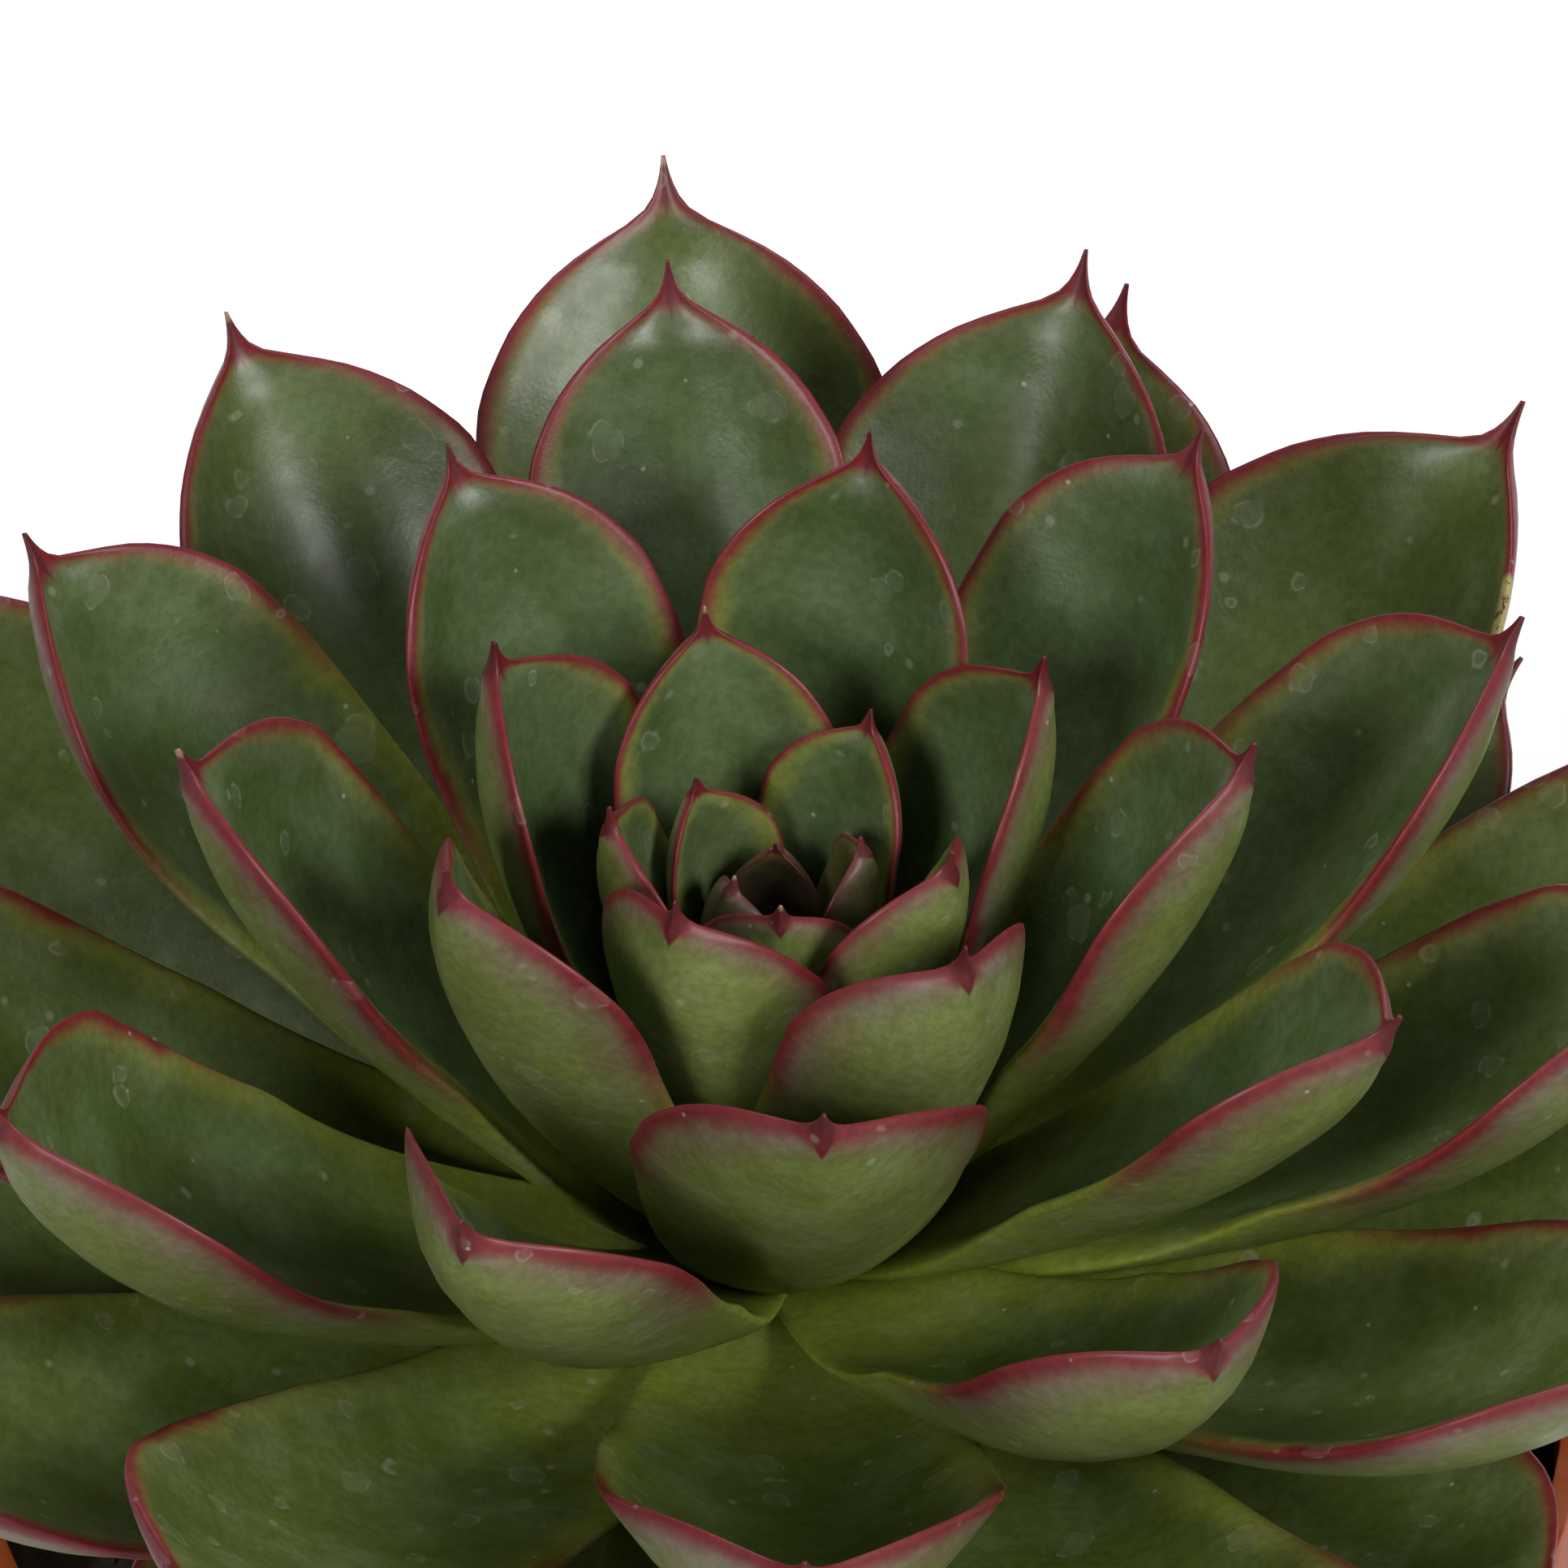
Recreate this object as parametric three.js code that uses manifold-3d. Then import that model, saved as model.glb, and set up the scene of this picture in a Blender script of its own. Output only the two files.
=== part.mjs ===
// Potted succulent: a hen-and-chicks rosette (an echeveria with red leaf margins)
// growing in a terracotta-coloured plastic nursery pot.
// Millimetres, +Z up, origin at the middle of the pot's flat underside.
// The person looking at the plant stands on the -Y side.
import * as THREE from 'three';
import { mergeVertices } from 'three/addons/utils/BufferGeometryUtils.js';
import Module from 'manifold-3d';

const wasm = await Module();
wasm.setup();

const DEGREE = Math.PI / 180;

// ---------------------------------------------------------------- driving sizes

// Pot: a tapered wall with a wider band round the mouth.
const POT_HEIGHT = 100;
const MOUTH_RADIUS = 60; // inside, at the top edge
const LIP_WIDTH = 2;
const BAND_HEIGHT = 14; // the wider band below the top edge
const BAND_STEP = 3.2; // how far the band stands out from the wall
const BASE_RADIUS = 43;
const POT_WALL = 1.8;
const POT_FLOOR = 2.4;
const EDGE_ROUND = 0.7;
const POT_SIDES = 72;
const DRAIN_HOLES = 6;
const DRAIN_HOLE_RADIUS = 4.5;
const DRAIN_CIRCLE_RADIUS = 27;

// Soil: fills the pot to a little below the top edge, slightly heaped at the stem.
const SOIL_DROP = 8; // below the pot's top edge, at the wall
const SOIL_HEAP = 3; // higher at the stem than at the wall
const SOIL_SIDES = 48;
const SEAT_GAP = 0.3; // left between one piece and the next

// Stem: from the buried root to the heart of the rosette.
const HEART_HEIGHT = 149.5; // level that the leaf bases are measured down from
const ROOT_DEPTH = 32; // below the soil's top
const ROOT_RADIUS = 4.5;
const NECK_RADIUS = 8.5; // where the stem leaves the soil
const STEM_SIDES = 18;

// Rosette: leaf 0 is the youngest, in the heart, and leaf 51 is the oldest.
const LEAF_COUNT = 52;
const FIRST_AZIMUTH = 82; // degrees from +X towards +Y
const DIVERGENCE = 138.2; // degrees from one leaf to the next, close to the golden angle

// How a leaf grows with its age. Each row gives the value at the ages in the first row.
const GROWTH = {
  age: [0, 5, 11, 18, 27, 37, 44, 51],
  baseRadius: [1.5, 2.8, 5.2, 8.8, 10.2, 10.5, 10.5, 10.5], // mm from the stem's axis
  baseDrop: [11.5, 16, 25, 28, 29.5, 32.5, 40.5, 46.5], // mm below HEART_HEIGHT
  length: [15.7, 28, 46.5, 58, 69, 78, 66, 61], // mm along the midrib
  baseRise: [72, 68, 57, 45, 8, -1, 2, 0], // degrees above level, at the base
  tipRise: [102, 78, 82, 65, 63, 42, 35, 16], // degrees above level, at the tip
  halfWidth: [4.2, 7.1, 10.8, 12.3, 13.5, 14.8, 13.8, 13.5], // mm
  channel: [0.53, 0.41, 0.56, 0.43, 0.56, 0.36, 0.33, 0.33], // margin height / half width
};
const LEAF_ROLL = -5; // degrees that each leaf is twisted by, at its tip

// The leaves follow the light: they lean over to it, and the grown ones turn to it too.
const LIGHT_AZIMUTH = 24;
const LIGHT_LEAN = 2; // degrees at most
const LIGHT_TURN = 4.5; // degrees at most
const LIGHT_TURN_AGES = [6, 16]; // the first age that turns, and the first that turns in full

// Leaves that stand off this even growth: [degrees turned, mm longer, degrees lifted,
// mm wider at each side, mm that one margin is curled up (the left one, or the right one
// if negative)].
const STRAYS = {
  2: [0, 0.8, 0, 0, 0],
  11: [-1.5, 0.8, 0, 0, 0],
  12: [0, -0.8, -2, 0, -1],
  13: [-0.5, 1.8, 0, 0, 0],
  14: [0, 1.5, 0, 0, 0],
  15: [0, -0.5, 0, 0.4, -1],
  16: [1.2, -0.4, 0, 0, 0],
  17: [0, 0, -2, 1.6, 0],
  18: [-3, 0, 0, 0, 0],
  19: [0, 0.5, 1, 0, 1.5],
  20: [1, 0, -5, 0, -1.5],
  21: [-1.3, -0.5, 0, 0, 0],
  22: [0, 0, 0, 0, 3.5],
  23: [-2, -1, 0, 0, 0],
  24: [0, 1.8, 0.5, 0, 0],
  26: [-2, 0.3, 0, 0.7, 0],
  27: [-5, 2, 2, 0.5, 2],
  30: [0, 0, 0, 2, 0],
  31: [0, 1.2, -1, 1.2, -2],
  33: [1, 0, 0, 0.8, 0],
  34: [-0.8, 1.8, 1, 1.8, 0],
  35: [-5, 0, 2, 0, 0],
  39: [3.5, 0.5, -1, 1.6, 0],
  40: [2, 0, -2, 0, 0],
  45: [3, 0, 0, 0, 0],
  48: [-8, 0, 0, 0, 0],
};

// Shape of one leaf.
const LEAF_THICKNESS = 4.8; // full-grown, at the middle
const FULL_HALF_WIDTH = 13; // half width of a leaf that is that thick
const RISE_POWER = 1.3; // above 1, a leaf bends more towards its tip
const TIP_ZONE = 1.25; // length of the rounded end, in half widths
const TIP_POWER = 0.62; // below 1, the rounded end has full shoulders
const BASE_NARROWING = 0.55; // the base is this much narrower than the middle
const WAVE_HEIGHT = 0.7; // of the margin, full-grown
const WAVES = 1.4; // along one margin
const SPIKE_LENGTH = 3.4; // the stiff point at the tip, full-grown
const SPIKE_HALF_WIDTH = 0.55;
const ROOT_SINK = 4; // mm that a leaf reaches into the stem

// Where a leaf's sections lie along its midrib, and the points round one section:
// [place across from -1 to 1, 0 on the upper face or 1 on the lower].
const STATIONS = [0, 0.25, 0.45, 0.6, 0.73, 0.84, 0.92, 0.97];
const SECTION = [[-1, 0], [-0.6, 0], [0, 0], [0.6, 0], [1, 0], [0.62, 1], [0, 1], [-0.62, 1]];

// ---------------------------------------------------------------- helpers

const clamp01 = (value) => Math.min(1, Math.max(0, value));

// Smooth curve through the key values, with no overshoot between them.
function grown(name, age) {
  const ages = GROWTH.age;
  const keys = GROWTH[name];
  const last = ages.length - 1;
  let i = 0;
  while (i < last - 1 && age > ages[i + 1]) i += 1;
  const slope = (j) => (keys[j + 1] - keys[j]) / (ages[j + 1] - ages[j]);
  const tangent = (j) => {
    if (j === 0) return slope(0);
    if (j === last) return slope(last - 1);
    const product = slope(j - 1) * slope(j);
    return product <= 0 ? 0 : (2 * product) / (slope(j - 1) + slope(j));
  };
  const span = ages[i + 1] - ages[i];
  const t = (age - ages[i]) / span;
  const rise = keys[i + 1] - keys[i];
  const start = tangent(i) * span;
  const end = tangent(i + 1) * span;
  return keys[i] + start * t + (3 * rise - 2 * start - end) * t ** 2
    + (start + end - 2 * rise) * t ** 3;
}

// A closed mesh, its shared points merged, as a solid that can be joined and cut.
function solidFrom(geometry) {
  const bare = geometry.clone();
  bare.deleteAttribute('normal');
  bare.deleteAttribute('uv');
  const merged = mergeVertices(bare, 1e-4);
  return new wasm.Manifold(new wasm.Mesh({
    numProp: 3,
    vertProperties: new Float32Array(merged.attributes.position.array),
    triVerts: new Uint32Array(merged.index.array),
  }));
}

// The outer skin of a solid, so that any hollow sealed up inside it is filled.
function filled(solid) {
  return solid.decompose().reduce((most, skin) => (skin.volume() > most.volume() ? skin : most));
}

function geometryFrom(solid) {
  const mesh = solid.getMesh();
  const geometry = new THREE.BufferGeometry();
  const points = new Float32Array(mesh.vertProperties);
  geometry.setAttribute('position', new THREE.BufferAttribute(points, 3));
  geometry.setIndex(new THREE.BufferAttribute(new Uint32Array(mesh.triVerts), 1));
  const flat = geometry.toNonIndexed();
  flat.computeVertexNormals();
  return flat;
}

// A profile of [radius, height] pairs, from the axis round to the axis, turned about Z.
function turned(profile, sides) {
  const outline = profile.map(([radius, height]) => new THREE.Vector2(radius, height));
  return new THREE.LatheGeometry(outline, sides).rotateX(Math.PI / 2);
}

function named(name, geometry, colour, roughness) {
  const material = new THREE.MeshStandardMaterial({ color: colour, roughness, metalness: 0 });
  const mesh = new THREE.Mesh(geometry, material);
  mesh.name = name;
  return mesh;
}

// ---------------------------------------------------------------- pot

const bandFoot = POT_HEIGHT - BAND_HEIGHT;
const lipRadius = MOUTH_RADIUS + LIP_WIDTH;
const neckRadius = lipRadius - BAND_STEP; // of the wall, just under the band

// Inside radius of the pot at a height: the tapered wall, then the wider band.
function potInside(height) {
  const wallInside = BASE_RADIUS + ((neckRadius - BASE_RADIUS) * height) / bandFoot - POT_WALL;
  const stepIn = MOUTH_RADIUS - 1;
  return height < bandFoot ? wallInside : THREE.MathUtils.lerp(
    stepIn, MOUTH_RADIUS, (height - bandFoot) / BAND_HEIGHT);
}

function makePot() {
  const shell = solidFrom(turned([
    [0, 0],
    [BASE_RADIUS - EDGE_ROUND, 0],
    [BASE_RADIUS, EDGE_ROUND],
    [neckRadius, bandFoot],
    [lipRadius - EDGE_ROUND, bandFoot],
    [lipRadius, bandFoot + EDGE_ROUND],
    [lipRadius, POT_HEIGHT - EDGE_ROUND],
    [lipRadius - EDGE_ROUND, POT_HEIGHT],
    [MOUTH_RADIUS + EDGE_ROUND / 2, POT_HEIGHT],
    [MOUTH_RADIUS, POT_HEIGHT - EDGE_ROUND],
    [potInside(bandFoot), bandFoot],
    [potInside(bandFoot - POT_WALL), bandFoot - POT_WALL],
    [potInside(POT_FLOOR), POT_FLOOR],
    [0, POT_FLOOR],
  ], POT_SIDES));
  let pot = shell;
  for (let i = 0; i < DRAIN_HOLES; i += 1) {
    const turn = (i / DRAIN_HOLES) * 2 * Math.PI;
    const drill = new THREE.CylinderGeometry(DRAIN_HOLE_RADIUS, DRAIN_HOLE_RADIUS, POT_FLOOR * 3, 20);
    drill.rotateX(Math.PI / 2);
    drill.translate(DRAIN_CIRCLE_RADIUS * Math.cos(turn), DRAIN_CIRCLE_RADIUS * Math.sin(turn), 0);
    pot = pot.subtract(solidFrom(drill));
  }
  return named('pot', geometryFrom(pot), 0xb4521f, 0.5);
}

// ---------------------------------------------------------------- soil

const soilEdge = POT_HEIGHT - SOIL_DROP;
const soilTop = soilEdge + SOIL_HEAP;
const rootFoot = soilTop - ROOT_DEPTH;

function makeSoil() {
  const floor = POT_FLOOR + SEAT_GAP;
  const fit = (height) => potInside(height) - SEAT_GAP;
  const heap = (share) => soilEdge + SOIL_HEAP * (1 - share ** 2);
  const outer = fit(soilEdge);
  const soil = turned([
    [0, floor],
    [fit(floor), floor],
    [fit(bandFoot - POT_WALL), bandFoot - POT_WALL],
    [fit(bandFoot), bandFoot],
    [outer, soilEdge],
    [outer * 0.75, heap(0.75)],
    [outer * 0.5, heap(0.5)],
    [NECK_RADIUS + SEAT_GAP, soilTop],
    [ROOT_RADIUS + SEAT_GAP, rootFoot - SEAT_GAP],
    [0, rootFoot - SEAT_GAP],
  ], SOIL_SIDES);
  return named('soil', soil, 0x2b211a, 0.95);
}

// ---------------------------------------------------------------- rosette

// Half width at a share of the way along the midrib, from 0 at the base to 1 at the tip.
function halfWidthAt(share, length, halfWidth) {
  const fromTip = ((1 - share) * length) / halfWidth;
  const end = (1 - (1 - clamp01(fromTip / TIP_ZONE)) ** 2) ** TIP_POWER;
  const towardsBase = clamp01((fromTip - TIP_ZONE) / (length / halfWidth - TIP_ZONE));
  return halfWidth * end * (1 - BASE_NARROWING * towardsBase ** 2);
}

// The leaf of one age: its midrib is a curve in the upright plane of its azimuth.
function leafRule(age) {
  const [turn, longer, lift, wider, curl] = STRAYS[age] ?? [0, 0, 0, 0, 0];
  const even = FIRST_AZIMUTH + DIVERGENCE * age;
  const fromLight = (LIGHT_AZIMUTH - even) * DEGREE;
  const [starts, full] = LIGHT_TURN_AGES;
  const turnedBy = turn + LIGHT_TURN * clamp01((age - starts) / (full - starts)) * Math.sin(fromLight);
  const liftedBy = lift - LIGHT_LEAN * Math.cos(fromLight);
  return {
    age,
    azimuth: (even + turnedBy) * DEGREE,
    length: grown('length', age) + longer,
    baseRise: grown('baseRise', age) + liftedBy,
    tipRise: grown('tipRise', age) + liftedBy,
    halfWidth: grown('halfWidth', age) + wider,
    channel: grown('channel', age),
    curl,
  };
}

// Places along the midrib, each with the directions out along the leaf, across it and
// up out of its upper face.
function midrib(leaf, shares) {
  const steps = 120;
  const outward = new THREE.Vector3(Math.cos(leaf.azimuth), Math.sin(leaf.azimuth), 0);
  const across = new THREE.Vector3(-Math.sin(leaf.azimuth), Math.cos(leaf.azimuth), 0);
  const up = new THREE.Vector3(0, 0, 1);
  const riseAt = (share) => (leaf.baseRise
    + (leaf.tipRise - leaf.baseRise) * Math.max(share, 0) ** RISE_POWER) * DEGREE;
  const place = (share) => {
    let radius = grown('baseRadius', leaf.age);
    let height = HEART_HEIGHT - grown('baseDrop', leaf.age);
    const stride = (share * leaf.length) / steps;
    for (let i = 0; i < steps; i += 1) {
      const rise = riseAt((share * (i + 0.5)) / steps);
      radius += stride * Math.cos(rise);
      height += stride * Math.sin(rise);
    }
    return outward.clone().multiplyScalar(radius).addScaledVector(up, height);
  };
  return shares.map((share) => {
    const rise = riseAt(share);
    const along = outward.clone().multiplyScalar(Math.cos(rise)).addScaledVector(up, Math.sin(rise));
    const roll = LEAF_ROLL * DEGREE * Math.max(share, 0);
    const side = across.clone().applyAxisAngle(along, roll);
    const face = along.clone().cross(side);
    return { share, at: place(share), along, side, face };
  });
}

// One leaf as a closed skin: sections from the sunk root to the tip, and then the spike.
function leafGeometry(age) {
  const leaf = leafRule(age);
  const size = Math.min(1, leaf.halfWidth / FULL_HALF_WIDTH);
  const points = [];
  const sections = midrib(leaf, [-ROOT_SINK / leaf.length, ...STATIONS]);
  for (const { share, at, side, face } of sections) {
    const width = halfWidthAt(Math.max(share, 0), leaf.length, leaf.halfWidth);
    const channel = leaf.channel * clamp01(share * 2.2);
    const belly = LEAF_THICKNESS * size ** 0.6 * (0.75 + 0.25 * Math.sin(Math.PI * clamp01(share) ** 0.8));
    const thickness = Math.max(belly * Math.sqrt(width / leaf.halfWidth), 0.8);
    const wave = WAVE_HEIGHT * size * clamp01(share * 2 - 0.4)
      * Math.sin(2 * Math.PI * (WAVES * share + 0.37 * age));
    const shoulder = (clamp01((share - 0.45) / 0.35) ** 2 * width) / leaf.halfWidth;
    for (const [across, lower] of SECTION) {
      const spread = width * across * (1 - 0.12 * channel ** 2 * across ** 2);
      const curled = Math.abs(leaf.curl) * shoulder * clamp01(-Math.sign(leaf.curl) * across) ** 3;
      const trough = channel * width * across ** 2 + wave * across ** 3 + curled;
      const height = trough - lower * thickness * (1 - across ** 2) ** 0.6;
      points.push(at.clone().addScaledVector(side, spread).addScaledVector(face, height));
    }
  }
  const tip = midrib(leaf, [1])[0];
  for (const [across, lower] of SECTION) {
    points.push(tip.at.clone()
      .addScaledVector(tip.side, SPIKE_HALF_WIDTH * size * across)
      .addScaledVector(tip.face, -SPIKE_HALF_WIDTH * size * (lower ? 1.6 : 0.4 * (1 - across ** 2))));
  }
  const ring = SECTION.length;
  const rings = points.length / ring;
  points.push(tip.at.clone().addScaledVector(tip.along, SPIKE_LENGTH * size));
  const faces = [];
  for (let i = 1; i < ring - 1; i += 1) faces.push(0, i, i + 1);
  for (let s = 0; s < rings - 1; s += 1) {
    for (let i = 0; i < ring; i += 1) {
      const near = s * ring + i;
      const next = s * ring + ((i + 1) % ring);
      faces.push(near, next + ring, next, near, near + ring, next + ring);
    }
  }
  const lastRing = (rings - 1) * ring;
  for (let i = 0; i < ring; i += 1) {
    faces.push(lastRing + i, points.length - 1, lastRing + ((i + 1) % ring));
  }
  const geometry = new THREE.BufferGeometry().setFromPoints(points);
  geometry.setIndex(faces);
  return geometry;
}

function stemGeometry() {
  const crown = [51, 37, 27, 18, 11, 5, 0].map((age) => [
    Math.max(grown('baseRadius', age) - 0.5, 0.8), HEART_HEIGHT - grown('baseDrop', age)]);
  return turned([
    [0, rootFoot],
    [ROOT_RADIUS, rootFoot],
    [NECK_RADIUS, soilTop],
    ...crown,
    [0, HEART_HEIGHT - grown('baseDrop', 0) + 1],
  ], STEM_SIDES);
}

// The leaves have grown out of the stem, so leaves, stem and root are one body.
function makeRosette() {
  let rosette = solidFrom(stemGeometry());
  for (let age = 0; age < LEAF_COUNT; age += 1) {
    rosette = rosette.add(solidFrom(leafGeometry(age)));
  }
  return named('rosette', geometryFrom(filled(rosette)), 0x566e45, 0.45);
}

// ---------------------------------------------------------------- the whole plant

const plant = new THREE.Group();
plant.name = 'potted_succulent';
plant.add(makePot(), makeSoil(), makeRosette());

export default plant;
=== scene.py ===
# %% [markdown]
# # A potted rosette succulent
# The real thing is one plant of thick leaves that have grown in an even spiral from a
# short stem, in a plastic nursery pot of soil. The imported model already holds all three
# as plain solids, so it is loaded first and gives every place and size. Each leaf is then
# made again as a fine skin in the same place, because the solids have only a few flat
# faces a leaf and the look of this plant is in its smooth, waxy curves.

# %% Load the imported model
import math

import bmesh
import bpy
import numpy as np
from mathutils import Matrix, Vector


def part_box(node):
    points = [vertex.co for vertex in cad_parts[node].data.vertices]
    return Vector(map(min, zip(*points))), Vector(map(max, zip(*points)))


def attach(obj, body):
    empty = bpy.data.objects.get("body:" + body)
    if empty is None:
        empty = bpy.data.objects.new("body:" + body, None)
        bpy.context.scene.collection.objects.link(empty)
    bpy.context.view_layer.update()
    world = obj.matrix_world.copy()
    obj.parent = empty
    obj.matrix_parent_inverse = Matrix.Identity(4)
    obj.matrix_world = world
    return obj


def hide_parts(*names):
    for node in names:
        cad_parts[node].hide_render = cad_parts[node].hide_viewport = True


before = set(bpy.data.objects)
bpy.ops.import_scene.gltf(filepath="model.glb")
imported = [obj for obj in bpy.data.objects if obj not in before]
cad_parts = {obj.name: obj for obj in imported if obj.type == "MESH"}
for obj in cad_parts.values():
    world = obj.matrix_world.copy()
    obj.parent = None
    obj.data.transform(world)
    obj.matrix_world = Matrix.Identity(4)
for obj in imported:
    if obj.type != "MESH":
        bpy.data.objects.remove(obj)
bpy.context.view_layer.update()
MM = 0.001
DEGREE = math.pi / 180


# %% [markdown]
# ## Camera
# The photograph looks down on the rosette at about 45 degrees from a long way off, so
# that near and far leaves are drawn at nearly one scale. A long lens far away does the
# same. It aims a little above the heart of the rosette, which puts each leaf where the
# photograph has it.

# %% Place the camera
VIEW_RISE = 45.15 * DEGREE  # above level
VIEW_DISTANCE = 4.2
FRAME_WIDTH = 117.3 * MM  # what the picture spans at the rosette
AIM = Vector((1.05, 0, 163.7)) * MM
SENSOR_WIDTH = 36
FARTHEST_SEEN = 40

camera_data = bpy.data.cameras.new("camera")
camera_data.sensor_width = SENSOR_WIDTH
camera_data.lens = SENSOR_WIDTH * VIEW_DISTANCE / FRAME_WIDTH
camera_data.clip_end = FARTHEST_SEEN
camera = bpy.data.objects.new("camera", camera_data)
bpy.context.scene.collection.objects.link(camera)
towards = Vector((0, -math.cos(VIEW_RISE), math.sin(VIEW_RISE)))
camera.location = AIM + VIEW_DISTANCE * towards
camera.rotation_euler = towards.to_track_quat("Z", "Y").to_euler()
bpy.context.scene.camera = camera
print("lens in mm:", round(camera_data.lens))

# %% [markdown]
# ## How the plant has grown
# A leaf's place and form follow from its age, counted in leaves from the heart. Each new
# leaf stands 138 degrees round from the last, and length, width and rise change smoothly
# with age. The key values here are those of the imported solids. A smooth curve through
# them, with no overshoot, gives every leaf between.

# %% Growth rules
LEAF_COUNT = 52
FIRST_AZIMUTH = 82
DIVERGENCE = 138.2
HEART_HEIGHT = 149.5
GROWTH = {
    "age": [0, 5, 11, 18, 27, 37, 44, 51],
    "base_radius": [1.5, 2.8, 5.2, 8.8, 10.2, 10.5, 10.5, 10.5],
    "base_drop": [11.5, 16, 25, 28, 29.5, 32.5, 40.5, 46.5],
    "length": [15.7, 28, 46.5, 58, 69, 78, 66, 61],
    "base_rise": [72, 68, 57, 45, 8, -1, 2, 0],
    "tip_rise": [102, 78, 82, 65, 63, 42, 35, 16],
    "half_width": [4.2, 7.1, 10.8, 12.3, 13.5, 14.8, 13.8, 13.5],
    "channel": [0.53, 0.41, 0.56, 0.43, 0.56, 0.36, 0.33, 0.33],
}
# Leaves off the even growth: degrees turned, mm longer, degrees lifted, mm wider a side,
# and mm that one margin is curled up (the left one, or the right one if negative).
STRAYS = {
    2: (0, 0.8, 0, 0, 0), 11: (-1.5, 0.8, 0, 0, 0), 12: (0, -0.8, -2, 0, -1),
    13: (-0.5, 1.8, 0, 0, 0), 14: (0, 1.5, 0, 0, 0), 15: (0, -0.5, 0, 0.4, -1),
    16: (1.2, -0.4, 0, 0, 0), 17: (0, 0, -1, 1.6, 0), 18: (-3, 0, 0, 0, 0),
    19: (0, 0.5, 1, 0, 1.5), 20: (1, 0, -4, 0, -1.5), 21: (-1.3, -0.5, 0, 0, 0),
    22: (0, 0, 0, 0, 3.5), 23: (-2, -1, 0, 0, 0), 24: (0, 1.5, 0.3, 0, 0),
    26: (-2.5, 0.5, 0, 1.9, 0), 27: (-5, 2, 2, 0.9, 2), 30: (0, 0, 0, 2, 0),
    31: (-0.8, 1.8, -1, 2.4, -2), 33: (1, 0, 0, 0.8, 0), 34: (-0.8, 1.8, 1, 2, 0),
    35: (-5, 0, 2, 0, 0), 36: (-0.6, -0.3, 0, -0.8, 0), 39: (3, 0.8, -1, 2.8, 0),
    40: (2, 0, -2, 0, 0), 45: (3, 0, 0, 0, 0), 48: (-8, 0, 0, 0, 0),
}
# Leaves lean and turn a few degrees towards the light, the old ones more than the young.
LIGHT_AZIMUTH, LIGHT_LEAN, LIGHT_TURN = 24, 2, 4.5
TURN_STARTS, TURN_FULL = 6, 16  # ages
print("leaves:", LEAF_COUNT, "off the even growth:", len(STRAYS))


# %% Read the rules for one leaf
def ramp(value, start, end):
    """Climbs from 0 at the start to 1 at the end, and stays there."""
    return np.clip((value - start) / (end - start), 0, 1)


def through(xs, ys, x):
    """A smooth curve through the points (xs, ys), with no overshoot between them."""
    xs, ys, x = (np.asarray(v, float) for v in (xs, ys, x))
    slopes = np.diff(ys) / np.diff(xs)
    product = slopes[:-1] * slopes[1:]
    total = np.where(product > 0, slopes[:-1] + slopes[1:], 1)
    inner = np.where(product > 0, 2 * product / total, 0)
    tangents = np.r_[slopes[0], inner, slopes[-1]]
    i = np.clip(np.searchsorted(xs, x, side="right") - 1, 0, len(xs) - 2)
    span = xs[i + 1] - xs[i]
    t = (x - xs[i]) / span
    rise, start, end = ys[i + 1] - ys[i], tangents[i] * span, tangents[i + 1] * span
    return ys[i] + start * t + (3 * rise - 2 * start - end) * t**2 + (start + end - 2 * rise) * t**3


def grown(name, age):
    return float(through(GROWTH["age"], GROWTH[name], age))


def leaf_rule(age):
    turn, longer, lift, wider, curl = STRAYS.get(age, (0, 0, 0, 0, 0))
    even = FIRST_AZIMUTH + DIVERGENCE * age
    from_light = (LIGHT_AZIMUTH - even) * DEGREE
    turn += LIGHT_TURN * float(ramp(age, TURN_STARTS, TURN_FULL)) * math.sin(from_light)
    lift -= LIGHT_LEAN * math.cos(from_light)
    return {
        "age": age,
        "azimuth": (even + turn) * DEGREE,
        "radius": grown("base_radius", age),
        "height": HEART_HEIGHT - grown("base_drop", age),
        "length": grown("length", age) + longer,
        "base_rise": grown("base_rise", age) + lift,
        "tip_rise": grown("tip_rise", age) + lift,
        "half_width": grown("half_width", age) + wider,
        "channel": grown("channel", age),
        "curl": curl,
    }


for age in (0, LEAF_COUNT - 1):
    print("leaf", age, "length in mm:", round(leaf_rule(age)["length"]))

# %% [markdown]
# ## One blank leaf
# Every leaf starts as the same blank: a round bar one unit long, so that its points
# already say how far along the leaf they are, how far across, and on which face. It is
# cut into rings for the bends to come, and its far end is drawn in to a point. Making the
# blank once and shaping copies of it keeps all the leaves alike in their build.

# %% Model the blank
RING_POINTS = 32
LEAF_RINGS = 46


def deselect_all():
    if bpy.context.mode != "OBJECT":
        bpy.ops.object.mode_set(mode="OBJECT")
    bpy.ops.object.select_all(action="DESELECT")


def select_only(piece):
    deselect_all()
    piece.select_set(True)
    bpy.context.view_layer.objects.active = piece


def pick(part, mesh, wanted):
    """In edit mode, selects the edges or faces that wanted() names, and nothing else."""
    bpy.ops.mesh.select_all(action="DESELECT")
    bpy.ops.mesh.select_mode(type="EDGE" if part == "edges" else "FACE")
    for element in getattr(mesh, part):
        if wanted(element):
            element.select_set(True)


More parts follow.
